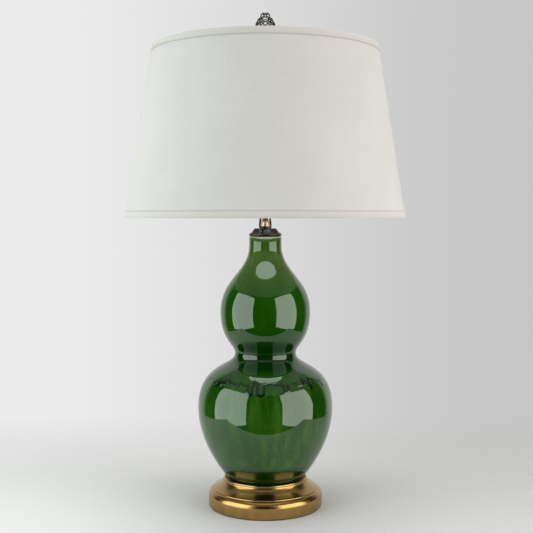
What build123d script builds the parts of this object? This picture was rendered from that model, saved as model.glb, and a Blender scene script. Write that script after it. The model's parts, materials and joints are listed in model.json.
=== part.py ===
from build123d import *
import math
import os

os.makedirs("parts", exist_ok=True)

# A table lamp: a hollow ceramic double gourd on a spun brass base, held together by one
# threaded pipe, with a socket, a harp and a linen shade that hangs from the harp's top.
# Millimetres, +Z up, the origin on the table under the pipe's axis, the front facing -Y.

# ---------------------------------------------------------------- clearances
running_fit = 0.05      # radial, a pin that turns in its bore
running_gap = 0.5       # between a wire and a disc that turns beside it
loose_fit = 0.3         # radial, pieces that slide or turn past each other
thread_fit = 0.1        # radial, screwed pieces, drawn plain
seat_gap = 0.2          # between faces of separate bodies that rest on each other
same_radius = 0.01      # edges whose radii differ by less are the same circle

# ---------------------------------------------------------------- spun base
felt_thickness = 1.5
felt_margin_width = 2.0             # felt stops this far inside the base's edge
base_radius = 94.2
base_side_height = 15.0       # straight side above the felt
shoulder_height = 11.8          # rounded shoulder, up to the groove
groove_radius = 87.6
groove_width = 0.8
groove_depth = 1.0
tier_height = 14.2            # second tier, a cove from groove to lip
tier_bead_width = 1.5         # rounded edge of the tier beside the groove
cove_low_run_length = 6.0     # how far the cove keeps its slope at each end
cove_high_run_length = 3.2
cove_low_slope = 0.5          # rise over run beside the bead
cove_high_slope = 1.6         # rise over run under the lip
lip_radius = 69.8             # outside of the raised lip round the ceramic foot
lip_width = 5.6
lip_step_width = 0.8                # small step where the tier meets the lip
lip_height = 5.2              # lip's crest above the end of the tier
deck_depth = 4.3              # the seat for the foot lies this far below the crest
shell_wall = 1.2
hem_width = 9.0               # bottom edge turned in, the felt is glued to it

# ---------------------------------------------------------------- cord inlet
inlet_height = 10.0           # axis above the table, at the back
inlet_bore_radius = 3.2
inlet_barrel_radius = 5.2
inlet_flange_radius = 7.4
inlet_flange_thickness = 1.8

# ---------------------------------------------------------------- pipe and its clamp
pipe_radius = 4.85
pipe_bore_radius = 3.4
pipe_tail_length = 5.0               # length that shows below the hex nut
base_washer_radius = 22.0
base_washer_thickness = 2.0
lock_washer_radius = 8.2
lock_washer_thickness = 1.4
lock_washer_slit_width = 1.4
lock_washer_slit_turn = 8.0    # degrees, the slit leans from the radius
hex_nut_flats = 14.3
hex_nut_height = 4.8

# ---------------------------------------------------------------- ceramic gourd
gasket_thickness = 1.5
gasket_width = 9.0
foot_radius = 62.8
foot_ring_width = 10.0
foot_recess_depth = 3.0
ceramic_wall = 6.5
ceramic_floor = 9.0
pipe_hole_radius = 6.5
lower_bulb_radius = 111.6
lower_bulb_height = 119.5     # from foot to widest
foot_fullness_length = 4.1           # how far each outline keeps upright at its end
lower_fullness_below_length = 67.6
lower_fullness_above_length = 72.0
waist_radius = 50.6
waist_height = 207.5
waist_fullness_below_length = 22.3
waist_fullness_above_length = 14.8
upper_bulb_radius = 74.4
upper_bulb_height = 275.9
upper_fullness_below_length = 47.3
upper_fullness_above_length = 56.0
neck_radius = 26.9
neck_start_height = 386.0
neck_fullness_length = 44.5
neck_length = 14.4
neck_lip_round_radius = 1.2

# ---------------------------------------------------------------- neck cap
cap_bead_radius = 27.1
cap_bead_height = 6.4
cap_slope_bottom_radius = 22.8
cap_slope_top_radius = 17.9
cap_slope_height = 6.6
cap_disc_radius = 9.6
cap_disc_height = 1.4
cap_wall = 2.4
cap_spigot_depth = 6.0

# ---------------------------------------------------------------- saddle and its nut
harp_turn = 72.0              # the harp's plane, turned from the front
saddle_eye_radius = 10.4
saddle_strip_thickness = 2.0
saddle_strip_width = 2.8
saddle_belly_half_width = 29.5           # half width low down
saddle_lean_height = 13.0     # over which the arms lean in to the legs
saddle_bend_radius = 2.6
leg_spacing = 51.0            # between the harp's legs
saddle_height = 32.0          # tips above the saddle's eye
lap_length = 8.0              # tip and leg overlap, each cut to half
nut_flange_radius = 8.2
nut_flange_height = 1.8
nut_dome_radius = 6.6
nut_dome_height = 7.6

# ---------------------------------------------------------------- harp
harp_wire_radius = 2.0
harp_straight_length = 44.0          # foot of each leg up to its first bend, the sleeve's run
harp_half_width = 57.0
harp_shoulder_half_width = 30.0
harp_bulge_low_height = 62.0         # above the straight foot, where the loop is full width
harp_crown_height = 56.0        # from the top down to where the loop is full width
harp_foot_bend_radius = 60.0
harp_bulge_bend_radius = 80.0
harp_shoulder_bend_radius = 28.0
harp_boss_radius = 6.5
harp_boss_height = 5.0
sleeve_length = 18.0
sleeve_wall = 1.2
stud_pin_radius = 3.2
stud_head_radius = 5.0
stud_head_height = 1.6
stud_seat_radius = 9.5
stud_seat_height = 2.0
stud_radius = 3.1
stud_length = 16.0

# ---------------------------------------------------------------- socket
socket_gap = 5.5              # bare pipe between nut and socket
hub_radius = 6.8
hub_height = 8.0
socket_radius = 18.0
bell_height = 13.0
bell_rim = 6.0
cap_metal_thickness = 0.9
set_screw_radius = 1.6
set_screw_length = 4.0
shell_metal_thickness = 0.6
socket_shell_height = 54.0
insulator_wall = 0.8
switch_body_radius = 15.3
switch_body_height = 20.0
screw_shell_radius = 13.7     # outside
screw_shell_thickness = 0.5
screw_shell_height = 24.0
contact_radius = 4.0
contact_height = 1.6
terminal_head_radius = 3.0
terminal_head_height = 2.0
terminal_pocket_depth = 3.4
spindle_radius = 2.4
spindle_height = 9.0          # axis above the switch body's foot
knob_radius = 4.8
knob_length = 14.0
knob_ridges = 16
knob_groove_radius = 0.5
knob_reach_length = 24.0             # from the lamp's axis to the knob's inner end
knob_turn = harp_turn - 90.0  # the knob stands square to the harp's plane

# ---------------------------------------------------------------- bulb
bulb_cap_radius = 12.9
bulb_cap_height = 25.0
bulb_neck_radius = 14.2
bulb_radius = 30.0
bulb_length = 108.0           # cap's foot to the crown
bulb_button_radius = 4.6
bulb_button_height = 1.5
bulb_glass_wall = 1.0
bulb_cap_thickness = 0.6

# ---------------------------------------------------------------- shade
shade_bottom_radius = 228.6
shade_top_radius = 184.0
shade_bottom_z = 476.2
shade_height = 276.3
liner_thickness = 0.8
fabric_thickness = 0.7
trim_thickness = 0.6
trim_height = 10.0
trim_turn_in_height = 6.0            # how far the trim reaches up inside
ring_wire_radius = 1.6
spoke_radius = 1.5
spoke_count = 3
spoke_first_angle = 30.0
spoke_bend_radius = 5.0
spider_drop_height = 9.0             # hub below the top ring
hub_disc_radius = 13.0
hub_disc_thickness = 1.8

# ---------------------------------------------------------------- finial
finial_collar_radius = 7.0
finial_collar_height = 9.0
finial_stem_radius = 4.4
finial_stem_height = 7.0
finial_cup_radius = 9.0
finial_cup_height = 3.0
filigree_height = 47.7
filigree_radius = 18.6
filigree_wall = 1.9
filigree_low_bulge_height = 15.0     # widest level above the cup
filigree_top_radius = 4.6
filigree_row_places = [0.86, 0.66, 0.46, 0.25, 0.02, 0.52]
filigree_upper_rows = 5       # rows above the widest level
filigree_rows = 6
filigree_holes = 8
filigree_hole_share = 0.74    # hole's share of the spacing in its row

# ================================================================ levels worked out
shell_foot_z = felt_thickness
side_top_z = shell_foot_z + base_side_height
groove_z = side_top_z + shoulder_height
tier_start_z = groove_z + groove_width
tier_end_z = tier_start_z + tier_height
lip_top_z = tier_end_z + lip_height
deck_z = lip_top_z - deck_depth
deck_radius = lip_radius - lip_width
foot_z = deck_z + gasket_thickness
lower_bulb_z = foot_z + lower_bulb_height
waist_z = foot_z + waist_height
upper_bulb_z = foot_z + upper_bulb_height
neck_start_z = foot_z + neck_start_height
neck_top_z = neck_start_z + neck_length
cap_slope_z = neck_top_z + cap_bead_height
cap_shoulder_z = cap_slope_z + cap_slope_height
cap_top_z = cap_shoulder_z + cap_disc_height
saddle_top_z = cap_top_z + saddle_strip_thickness
nut_top_z = saddle_top_z + nut_flange_height + nut_dome_height
hub_z = nut_top_z + socket_gap
bell_z = hub_z + hub_height
bell_top_z = bell_z + bell_height
switch_body_z = bell_top_z
socket_top_z = bell_top_z - bell_rim + socket_shell_height
screw_shell_z = switch_body_z + switch_body_height
contact_top_z = screw_shell_z + contact_height
bulb_button_z = contact_top_z + seat_gap
bulb_cap_z = bulb_button_z + bulb_button_height
bulb_neck_z = bulb_cap_z + bulb_cap_height
bulb_top_z = bulb_cap_z + bulb_length
saddle_tip_z = saddle_top_z + saddle_height
leg_foot_z = saddle_tip_z - lap_length + seat_gap
shade_top_z = shade_bottom_z + shade_height
spider_ring_z = shade_top_z - trim_thickness - ring_wire_radius
spider_hub_z = spider_ring_z - spider_drop_height
stud_seat_z = spider_hub_z - seat_gap - stud_seat_height
harp_top_z = stud_seat_z - seat_gap - harp_boss_height / 2
finial_z = spider_hub_z + hub_disc_thickness + seat_gap
finial_cup_z = finial_z + finial_collar_height + finial_stem_height
filigree_z = finial_cup_z + finial_cup_height
filigree_top_z = filigree_z + filigree_height
shade_slope = (shade_bottom_radius - shade_top_radius) / shade_height
leg_half = leg_spacing / 2


def turned_plane(angle):
    """Upright plane through the lamp's axis, turned about it from the front."""
    turn = math.radians(angle)
    return Plane(
        origin=(0, 0, 0),
        x_dir=(math.cos(turn), math.sin(turn), 0),
        z_dir=(math.sin(turn), -math.cos(turn), 0),
    )


def shade_radius_at(z):
    """Outer radius of the shade's cone at a height."""
    return shade_bottom_radius - shade_slope * (z - shade_bottom_z)


harp_plane = turned_plane(harp_turn)
knob_axis_z = switch_body_z + spindle_height


# ================================================================ base
def base_outline(wall):
    """Side, shoulder and second tier of the base, moved in by a wall."""
    side = base_radius - wall
    groove = (groove_radius - wall, groove_z - wall / 2)
    tier = (groove_radius - groove_depth - wall, tier_start_z - wall / 2)
    lip = (lip_radius - wall, tier_end_z - wall)
    foot = shell_foot_z + wall
    Line((side, foot), (side, side_top_z))
    Bezier(
        (side, side_top_z),
        (side, side_top_z + shoulder_height / 2),
        (groove[0] + shoulder_height / 3, groove[1] - shoulder_height / 4),
        groove,
    )
    Line(groove, tier)
    cove_foot = (tier[0] - tier_bead_width, tier[1] + tier_bead_width)
    Bezier(tier, (tier[0], cove_foot[1]), cove_foot)
    Bezier(
        cove_foot,
        (cove_foot[0] - cove_low_run_length, cove_foot[1] + cove_low_slope * cove_low_run_length),
        (lip[0] + cove_high_run_length, lip[1] - cove_high_slope * cove_high_run_length),
        lip,
    )
    return lip


with BuildPart() as base_shell:
    with BuildSketch(Plane.XZ):
        with BuildLine():
            lip_foot = base_outline(0)
            lip_base = (lip_radius - lip_step_width, lip_foot[1] + lip_step_width)
            lip_crest = (lip_radius - lip_width / 2, lip_top_z)
            lip_inner = (deck_radius, lip_top_z - lip_width / 2)
            Line(lip_foot, lip_base)
            ThreePointArc(lip_base, lip_crest, lip_inner)
            Polyline(
                lip_inner,
                (deck_radius, deck_z),
                (pipe_radius + loose_fit, deck_z),
                (pipe_radius + loose_fit, shell_foot_z),
                (base_radius, shell_foot_z),
            )
        make_face()
    revolve(axis=Axis.Z)
    with BuildSketch(Plane.XZ):
        with BuildLine():
            inner_lip = base_outline(shell_wall)
            Polyline(
                inner_lip,
                (inner_lip[0], deck_z - shell_wall),
                (0, deck_z - shell_wall),
                (0, shell_foot_z),
                (base_radius - hem_width, shell_foot_z),
                (base_radius - hem_width, shell_foot_z + shell_wall),
                (base_radius - shell_wall, shell_foot_z + shell_wall),
            )
        make_face()
    revolve(axis=Axis.Z, mode=Mode.SUBTRACT)
    with BuildSketch(Plane.XY.offset(deck_z - shell_wall)):
        Circle(pipe_radius + loose_fit)
    extrude(amount=shell_wall, mode=Mode.SUBTRACT)
    with BuildSketch(Plane.XZ.offset(-base_radius)):
        with Locations((0, inlet_height)):
            Circle(inlet_barrel_radius + loose_fit)
    extrude(amount=hem_width, mode=Mode.SUBTRACT)
base_shell.part.label = "base_shell"
export_step(base_shell.part, "parts/base_shell.step")

felt_radius = base_radius - felt_margin_width
with BuildPart() as base_felt:
    with BuildSketch():
        Circle(felt_radius)
    extrude(amount=felt_thickness)
base_felt.part.label = "base_felt"
export_step(base_felt.part, "parts/base_felt.step")

# Bushing of the lead's inlet: a flange outside, a barrel through the wall, a snap rim inside.
with BuildPart() as cord_bushing:
    with BuildSketch(Plane.XZ.offset(-base_radius - inlet_flange_thickness)):
        with Locations((0, inlet_height)):
            Circle(inlet_flange_radius)
    extrude(amount=inlet_flange_thickness)
    with BuildSketch(Plane.XZ.offset(-base_radius)):
        with Locations((0, inlet_height)):
            Circle(inlet_barrel_radius)
    extrude(amount=shell_wall + 2 * inlet_flange_thickness)
    with BuildSketch(Plane.XZ.offset(shell_wall + inlet_flange_thickness / 2 - base_radius)):
        with Locations((0, inlet_height)):
            Circle(inlet_barrel_radius + inlet_flange_thickness / 2)
    extrude(amount=inlet_flange_thickness)
    with BuildSketch(Plane.XZ.offset(-base_radius - inlet_flange_thickness)):
        with Locations((0, inlet_height)):
            Circle(inlet_bore_radius)
    extrude(amount=shell_wall + 4 * inlet_flange_thickness, mode=Mode.SUBTRACT)
    fillet(cord_bushing.edges().group_by(Axis.Y)[-1], inlet_flange_thickness / 3)
cord_bushing.part.label = "cord_bushing"
export_step(cord_bushing.part, "parts/cord_bushing.step")

# ================================================================ pipe and its clamp
washer_z = deck_z - shell_wall - base_washer_thickness
lock_washer_z = washer_z - lock_washer_thickness
hex_nut_z = lock_washer_z - hex_nut_height
pipe_foot_z = hex_nut_z - pipe_tail_length
pipe_top_z = bell_z - cap_metal_thickness

with BuildPart() as lamp_pipe:
    with BuildSketch(Plane.XY.offset(pipe_foot_z)):
        Circle(pipe_radius)
        Circle(pipe_bore_radius, mode=Mode.SUBTRACT)
    extrude(amount=pipe_top_z - pipe_foot_z)
lamp_pipe.part.label = "lamp_pipe"
export_step(lamp_pipe.part, "parts/lamp_pipe.step")

with BuildPart() as base_washer:
    with BuildSketch(Plane.XY.offset(washer_z)):
        Circle(base_washer_radius)
        Circle(pipe_radius + thread_fit, mode=Mode.SUBTRACT)
    extrude(amount=base_washer_thickness)
base_washer.part.label = "base_washer"
export_step(base_washer.part, "parts/base_washer.step")

with BuildPart() as lock_washer:
    with BuildSketch(Plane.XY.offset(lock_washer_z)):
        Circle(lock_washer_radius)
        Circle(pipe_radius + thread_fit, mode=Mode.SUBTRACT)
        with Locations(((lock_washer_radius + pipe_radius) / 2, 0)):
            Rectangle(
                2 * (lock_washer_radius - pipe_radius),
                lock_washer_slit_width,
                rotation=lock_washer_slit_turn,
                mode=Mode.SUBTRACT,
            )
    extrude(amount=lock_washer_thickness)
lock_washer.part.label = "lock_washer"
export_step(lock_washer.part, "parts/lock_washer.step")

with BuildPart() as bottom_hex_nut:
    with BuildSketch(Plane.XY.offset(hex_nut_z)):
        RegularPolygon(hex_nut_flats / 2, 6, major_radius=False)
        Circle(pipe_radius + thread_fit, mode=Mode.SUBTRACT)
    extrude(amount=hex_nut_height)
bottom_hex_nut.part.label = "bottom_hex_nut"
export_step(bottom_hex_nut.part, "parts/bottom_hex_nut.step")


# ================================================================ ceramic gourd
def gourd_outline(wall, start_z):
    """Outline of the double gourd from a level above its foot to the neck's top."""
    foot = (foot_radius - wall, start_z)
    lower = (lower_bulb_radius - wall, lower_bulb_z)
    waist = (waist_radius - wall, waist_z)
    upper = (upper_bulb_radius - wall, upper_bulb_z)
    neck = (neck_radius - wall, neck_start_z)
    Bezier(
        foot,
        (foot[0], foot[1] + foot_fullness_length),
        (lower[0], lower[1] - lower_fullness_below_length),
        lower,
    )
    Bezier(
        lower,
        (lower[0], lower[1] + lower_fullness_above_length),
        (waist[0], waist[1] - waist_fullness_below_length),
        waist,
    )
    Bezier(
        waist,
        (waist[0], waist[1] + waist_fullness_above_length),
        (upper[0], upper[1] - upper_fullness_below_length),
        upper,
    )
    Bezier(
        upper,
        (upper[0], upper[1] + upper_fullness_above_length),
        (neck[0], neck[1] - neck_fullness_length),
        neck,
    )
    return neck[0]


with BuildPart() as gourd_body:
    with BuildSketch(Plane.XZ):
        with BuildLine():
            neck_outside = gourd_outline(0, foot_z)
            Line((neck_outside, neck_start_z), (neck_outside, neck_top_z - neck_lip_round_radius))
            RadiusArc(
                (neck_outside, neck_top_z - neck_lip_round_radius),
                (neck_outside - neck_lip_round_radius, neck_top_z),
                -neck_lip_round_radius,
            )
            Polyline(
                (neck_outside - neck_lip_round_radius, neck_top_z),
                (0, neck_top_z),
                (0, foot_z + foot_recess_depth),
                (foot_radius - foot_ring_width, foot_z + foot_recess_depth),
                (foot_radius - foot_ring_width, foot_z),
                (foot_radius, foot_z),
            )
        make_face()
    revolve(axis=Axis.Z)
    with BuildSketch(Plane.XZ):
        with BuildLine():
            mouth_radius = gourd_outline(ceramic_wall, foot_z + ceramic_floor)
            Polyline(
                (mouth_radius, neck_start_z),
                (mouth_radius, neck_top_z),
                (0, neck_top_z),
                (0, foot_z + ceramic_floor),
                (foot_radius - ceramic_wall, foot_z + ceramic_floor),
            )
        make_face()
    revolve(axis=Axis.Z, mode=Mode.SUBTRACT)
    with BuildSketch(Plane.XY.offset(foot_z)):
        Circle(pipe_hole_radius)
    extrude(amount=ceramic_floor, mode=Mode.SUBTRACT)
gourd_body.part.label = "gourd_body"
export_step(gourd_body.part, "parts/gourd_body.step")

with BuildPart() as foot_gasket:
    with BuildSketch(Plane.XY.offset(deck_z)):
        Circle(foot_radius)
        Circle(foot_radius - gasket_width, mode=Mode.SUBTRACT)
    extrude(amount=gasket_thickness)
foot_gasket.part.label = "foot_gasket"
export_step(foot_gasket.part, "parts/foot_gasket.step")

# ================================================================ neck cap
spigot_radius = mouth_radius - loose_fit
with BuildPart() as neck_cap:
    with BuildSketch(Plane.XZ):
        with BuildLine():
            bead_in = cap_bead_radius - cap_bead_height / 2
            Line((spigot_radius, neck_top_z), (bead_in, neck_top_z))
            ThreePointArc(
                (bead_in, neck_top_z),
                (cap_bead_radius, neck_top_z + cap_bead_height / 2),
                (bead_in, cap_slope_z),
            )
            Polyline(
                (bead_in, cap_slope_z),
                (cap_slope_bottom_radius, cap_slope_z),
                (cap_slope_top_radius, cap_shoulder_z),
                (cap_disc_radius, cap_shoulder_z),
                (cap_disc_radius, cap_top_z),
                (pipe_radius + loose_fit, cap_top_z),
                (pipe_radius + loose_fit, cap_shoulder_z - cap_wall),
                (cap_slope_top_radius - cap_wall, cap_shoulder_z - cap_wall),
                (spigot_radius - cap_wall, neck_top_z),
                (spigot_radius - cap_wall, neck_top_z - cap_spigot_depth),
                (spigot_radius, neck_top_z - cap_spigot_depth),
                (spigot_radius, neck_top_z),
            )
        make_face()
    revolve(axis=Axis.Z)
    fillet(
        neck_cap.edges().filter_by(GeomType.CIRCLE).filter_by(
            lambda edge: abs(edge.radius - cap_slope_top_radius) < same_radius
        ),
        cap_disc_height / 2,
    )
neck_cap.part.label = "neck_cap"
export_step(neck_cap.part, "parts/neck_cap.step")

# ================================================================ saddle and its nut
arm_centre_z = cap_top_z + saddle_strip_thickness / 2
with BuildPart() as harp_saddle:
    with BuildSketch(Plane.XY.offset(cap_top_z)):
        Circle(saddle_eye_radius)
    extrude(amount=saddle_strip_thickness)
    with BuildLine(harp_plane) as saddle_path:
        FilletPolyline(
            (-leg_half, saddle_tip_z),
            (-leg_half, arm_centre_z + saddle_lean_height),
            (-saddle_belly_half_width, arm_centre_z),
            (saddle_belly_half_width, arm_centre_z),
            (leg_half, arm_centre_z + saddle_lean_height),
            (leg_half, saddle_tip_z),
            radius=saddle_bend_radius,
        )
    with BuildSketch(Plane(saddle_path.line @ 0, x_dir=harp_plane.z_dir, z_dir=saddle_path.line % 0)):
        Rectangle(saddle_strip_width, saddle_strip_thickness)
    sweep(path=saddle_path.line)
    with BuildSketch(Plane.XY.offset(cap_top_z)):
        Circle(pipe_radius + thread_fit)
    extrude(amount=2 * saddle_strip_thickness, mode=Mode.SUBTRACT)
    # the tips are cut to their inner half, for the lap with the harp's legs
    with BuildSketch(harp_plane):
        with Locations(
            (leg_half + saddle_strip_thickness / 2, saddle_tip_z - lap_length / 2),
            (-leg_half - saddle_strip_thickness / 2, saddle_tip_z - lap_length / 2),
        ):
            Rectangle(saddle_strip_thickness + seat_gap, lap_length)
    extrude(amount=saddle_strip_width, both=True, mode=Mode.SUBTRACT)
harp_saddle.part.label = "harp_saddle"
export_step(harp_saddle.part, "parts/harp_saddle.step")

with BuildPart() as saddle_nut:
    with BuildSketch(Plane.XZ):
        nut_flange_z = saddle_top_z + nut_flange_height
        with BuildLine():
            Polyline(
                (pipe_radius + thread_fit, nut_top_z),
                (pipe_radius + thread_fit, saddle_top_z),
                (nut_flange_radius, saddle_top_z),
                (nut_flange_radius, nut_flange_z),
                (nut_dome_radius, nut_flange_z),
                (nut_dome_radius, nut_flange_z + nut_dome_height / 2),
            )
            Bezier(
                (nut_dome_radius, nut_flange_z + nut_dome_height / 2),
                (nut_dome_radius, nut_top_z - nut_dome_height / 8),
                (nut_dome_radius - nut_dome_height / 16, nut_top_z),
                (pipe_radius + thread_fit, nut_top_z),
            )
        make_face()
    revolve(axis=Axis.Z)
saddle_nut.part.label = "saddle_nut"
export_step(saddle_nut.part, "parts/saddle_nut.step")

# ================================================================ harp
boss_z = harp_top_z - harp_boss_height / 2
straight_z = leg_foot_z + harp_straight_length
with BuildPart() as harp:
    with BuildLine(harp_plane) as harp_path:
        FilletPolyline(
            (-leg_half, leg_foot_z),
            (-leg_half, straight_z),
            (-harp_half_width, straight_z + harp_bulge_low_height),
            (-harp_half_width, harp_top_z - harp_crown_height),
            (-harp_shoulder_half_width, harp_top_z),
            (harp_shoulder_half_width, harp_top_z),
            (harp_half_width, harp_top_z - harp_crown_height),
            (harp_half_width, straight_z + harp_bulge_low_height),
            (leg_half, straight_z),
            (leg_half, leg_foot_z),
            radius=[
                harp_foot_bend_radius,
                harp_bulge_bend_radius,
                harp_bulge_bend_radius,
                harp_shoulder_bend_radius,
                harp_shoulder_bend_radius,
                harp_bulge_bend_radius,
                harp_bulge_bend_radius,
                harp_foot_bend_radius,
            ],
        )
    with BuildSketch(Plane(harp_path.line @ 0, z_dir=harp_path.line % 0)):
        Circle(harp_wire_radius)
    sweep(path=harp_path.line)
    with BuildSketch(Plane.XY.offset(boss_z)):
        Circle(harp_boss_radius)
    extrude(amount=harp_boss_height)
    with BuildSketch(Plane.XY.offset(boss_z)):
        Circle(stud_pin_radius + running_fit)
    extrude(amount=harp_boss_height, mode=Mode.SUBTRACT)
    # the feet keep their outer half, which lies against the saddle's tips
    with BuildSketch(harp_plane):
        with Locations(
            (leg_half - harp_wire_radius / 2, leg_foot_z + lap_length / 2),
            (-leg_half + harp_wire_radius / 2, leg_foot_z + lap_length / 2),
        ):
            Rectangle(harp_wire_radius + seat_gap, lap_length)
    extrude(amount=2 * harp_wire_radius, both=True, mode=Mode.SUBTRACT)
harp.part.label = "harp"
export_step(harp.part, "parts/harp.step")

# Each sleeve slides down over the lap and locks leg and saddle together.
sleeve_z = saddle_tip_z - lap_length / 2 - sleeve_length / 2
sleeve_bore_radius = harp_wire_radius + loose_fit
for side, name in ((-1, "harp_sleeve_left"), (1, "harp_sleeve_right")):
    leg_axis = harp_plane.from_local_coords((side * leg_half, 0, 0))
    with BuildPart() as harp_sleeve:
        with BuildSketch(Plane(origin=leg_axis + Vector(0, 0, sleeve_z), z_dir=(0, 0, 1))):
            Circle(sleeve_bore_radius + sleeve_wall)
            Circle(sleeve_bore_radius, mode=Mode.SUBTRACT)
        extrude(amount=sleeve_length)
        fillet(
            harp_sleeve.edges().filter_by(GeomType.CIRCLE).group_by(SortBy.RADIUS)[-1],
            sleeve_wall / 3,
        )
    harp_sleeve.part.label = name
    export_step(harp_sleeve.part, "parts/" + name + ".step")

# Swivelling stud: head, pin through the harp's boss, seat for the shade, thread above.
with BuildPart() as harp_stud:
    head_z = boss_z - seat_gap - stud_head_height
    seat_top_z = stud_seat_z + stud_seat_height
    with BuildSketch(Plane.XZ):
        with BuildLine():
            Polyline(
                (0, head_z),
                (stud_head_radius, head_z),
                (stud_head_radius, head_z + stud_head_height),
                (stud_pin_radius, head_z + stud_head_height),
                (stud_pin_radius, stud_seat_z),
                (stud_seat_radius, stud_seat_z),
                (stud_seat_radius, seat_top_z),
                (stud_radius, seat_top_z),
                (stud_radius, seat_top_z + stud_length),
                (0, seat_top_z + stud_length),
                close=True,
            )
        make_face()
    revolve(axis=Axis.Z)
    chamfer(harp_stud.edges().group_by(Axis.Z)[-1], stud_radius / 4)
harp_stud.part.label = "harp_stud"
export_step(harp_stud.part, "parts/harp_stud.step")

# ================================================================ socket
bell_inner = socket_radius - cap_metal_thickness
with BuildPart() as socket_cap:
    with BuildSketch(Plane.XZ):
        with BuildLine():
            Line((pipe_radius + thread_fit, hub_z), (hub_radius, hub_z))
            Line((hub_radius, hub_z), (hub_radius, bell_z))
            Bezier(
                (hub_radius, bell_z),
                (hub_radius + (socket_radius - hub_radius) / 2, bell_z),
                (socket_radius, bell_z + (bell_height - bell_rim) / 2),
                (socket_radius, bell_top_z - bell_rim),
            )
            Polyline(
                (socket_radius, bell_top_z - bell_rim),
                (socket_radius, bell_top_z),
                (bell_inner, bell_top_z),
                (bell_inner, bell_top_z - bell_rim),
            )
            Bezier(
                (bell_inner, bell_top_z - bell_rim),
                (bell_inner, bell_z + cap_metal_thickness + (bell_height - bell_rim) / 2),
                (hub_radius + (socket_radius - hub_radius) / 2, bell_z + cap_metal_thickness),
                (hub_radius, bell_z + cap_metal_thickness),
            )
            Polyline(
                (hub_radius, bell_z + cap_metal_thickness),
                (pipe_radius + thread_fit, bell_z + cap_metal_thickness),
                (pipe_radius + thread_fit, hub_z),
            )
        make_face()
    revolve(axis=Axis.Z)
    with BuildSketch(Plane.YZ):
        with Locations((0, (hub_z + bell_z) / 2)):
            Circle(set_screw_radius + thread_fit)
    extrude(amount=-socket_radius, mode=Mode.SUBTRACT)
socket_cap.part.label = "socket_cap"
export_step(socket_cap.part, "parts/socket_cap.step")

with BuildPart() as socket_set_screw:
    with BuildSketch(Plane.YZ.offset(-pipe_radius - thread_fit)):
        with Locations((0, (hub_z + bell_z) / 2)):
            Circle(set_screw_radius)
    extrude(amount=-set_screw_length)
    with BuildSketch(Plane.YZ.offset(-pipe_radius - thread_fit - set_screw_length)):
        with Locations((0, (hub_z + bell_z) / 2)):
            Rectangle(set_screw_radius / 2, 2 * set_screw_radius)
    extrude(amount=set_screw_radius / 2, mode=Mode.SUBTRACT)
socket_set_screw.part.label = "socket_set_screw"
export_step(socket_set_screw.part, "parts/socket_set_screw.step")

knob_plane = turned_plane(knob_turn - 90.0)
spindle_hole = spindle_radius + loose_fit
shell_radius = bell_inner - running_fit
shell_z = bell_top_z - bell_rim
with BuildPart() as socket_shell:
    with BuildSketch(Plane.XY.offset(shell_z)):
        Circle(shell_radius)
        Circle(shell_radius - shell_metal_thickness, mode=Mode.SUBTRACT)
    extrude(amount=socket_shell_height)
    with BuildSketch(knob_plane):
        with Locations((0, knob_axis_z)):
            Circle(spindle_hole)
    extrude(amount=-socket_radius, mode=Mode.SUBTRACT)
socket_shell.part.label = "socket_shell"
export_step(socket_shell.part, "parts/socket_shell.step")

insulator_radius = shell_radius - shell_metal_thickness - running_fit
with BuildPart() as socket_insulator:
    with BuildSketch(Plane.XY.offset(bell_top_z)):
        Circle(insulator_radius)
        Circle(insulator_radius - insulator_wall, mode=Mode.SUBTRACT)
    extrude(amount=socket_top_z - bell_top_z)
    with BuildSketch(knob_plane):
        with Locations((0, knob_axis_z)):
            Circle(spindle_hole)
    extrude(amount=-socket_radius, mode=Mode.SUBTRACT)
socket_insulator.part.label = "socket_insulator"
export_step(socket_insulator.part, "parts/socket_insulator.step")

# Moulded switch housing, with a blind bore for the spindle and a pocket for each screw.
terminal_plane = turned_plane(harp_turn)
terminal_z = switch_body_z + switch_body_height / 2
with BuildPart() as socket_body:
    with BuildSketch(Plane.XY.offset(switch_body_z)):
        Circle(switch_body_radius)
    extrude(amount=switch_body_height)
    with BuildSketch(knob_plane):
        with Locations((0, knob_axis_z)):
            Circle(spindle_radius + running_fit)
    extrude(amount=-switch_body_radius, mode=Mode.SUBTRACT)
    with BuildSketch(terminal_plane):
        with Locations(
            (switch_body_radius, terminal_z),
            (-switch_body_radius, terminal_z),
        ):
            Rectangle(2 * terminal_pocket_depth, 3 * terminal_head_radius)
    extrude(amount=terminal_head_radius + loose_fit, both=True, mode=Mode.SUBTRACT)
socket_body.part.label = "socket_body"
export_step(socket_body.part, "parts/socket_body.step")

pocket_floor = switch_body_radius - terminal_pocket_depth
with BuildPart() as terminal_screws:
    for side in (-1, 1):
        screw_seat = terminal_plane.from_local_coords((side * pocket_floor, terminal_z, 0))
        screw_plane = Plane(origin=screw_seat, z_dir=terminal_plane.x_dir * side)
        with BuildSketch(screw_plane):
            Circle(terminal_head_radius)
        extrude(amount=terminal_head_height)
        with BuildSketch(screw_plane.offset(terminal_head_height)):
            Rectangle(2 * terminal_head_radius, terminal_head_radius / 4)
        extrude(amount=-terminal_head_height / 3, mode=Mode.SUBTRACT)
terminal_screws.part.label = "terminal_screws"
export_step(terminal_screws.part, "parts/terminal_screws.step")

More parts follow.
